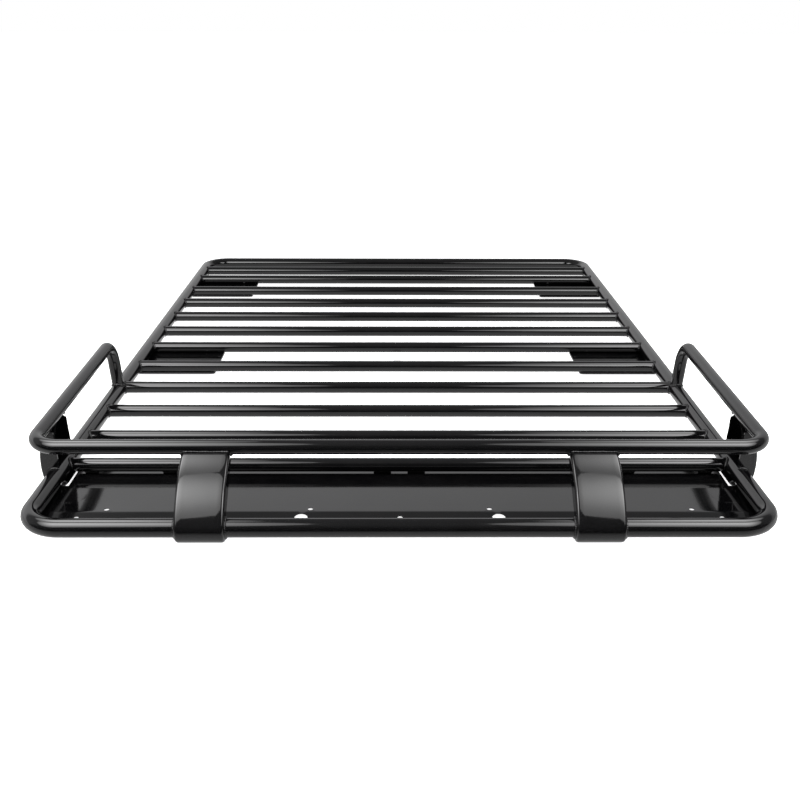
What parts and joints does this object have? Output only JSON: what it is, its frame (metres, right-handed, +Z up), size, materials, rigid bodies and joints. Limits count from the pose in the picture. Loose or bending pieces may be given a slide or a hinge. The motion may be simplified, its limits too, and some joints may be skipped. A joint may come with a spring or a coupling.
{
  "type": "roof cargo basket",
  "caption": "Low roof cargo rack: bent tube frame with round cross slats, raised front rail on pressed brackets, sheet wind deflector and plates for roof legs.",
  "frame": {"origin": "middle of the rack in plan, at the level of the brackets' undersides", "axes": "+Z up, -Y towards the front of the vehicle, +X to the right as seen from the front"},
  "size_m": [1.271, 1.8579, 0.144],
  "materials": {
    "perimeter_paint": "gloss",
    "slat_paint": "gloss",
    "rail_paint": "gloss",
    "bracket_paint": "gloss",
    "plate_paint": "gloss",
    "sheet_paint": "gloss",
    "fastener_black": "satin"
  },
  "bodies": {
    "root": {"front_perimeter_tube": "perimeter_paint", "rear_perimeter_tube": "perimeter_paint", "slat_01": "slat_paint", "slat_02": "slat_paint", "slat_03": "slat_paint", "slat_04": "slat_paint", "slat_05": "slat_paint", "slat_06": "slat_paint", "slat_07": "slat_paint", "slat_08": "slat_paint", "slat_09": "slat_paint", "slat_10": "slat_paint", "slat_11": "slat_paint", "slat_12": "slat_paint", "upper_rail": "rail_paint", "front_bracket_left": "bracket_paint", "front_bracket_right": "bracket_paint", "side_bracket_left": "bracket_paint", "side_bracket_right": "bracket_paint", "front_plate_left": "plate_paint", "front_plate_right": "plate_paint", "middle_plate_left": "plate_paint", "middle_plate_right": "plate_paint", "rear_plate_left": "plate_paint", "rear_plate_right": "plate_paint", "wind_deflector": "sheet_paint", "slat_tabs": "plate_paint", "deflector_bolts": "fastener_black", "deflector_washers": "fastener_black", "deflector_nuts": "fastener_black"}
  },
  "joints": []
}
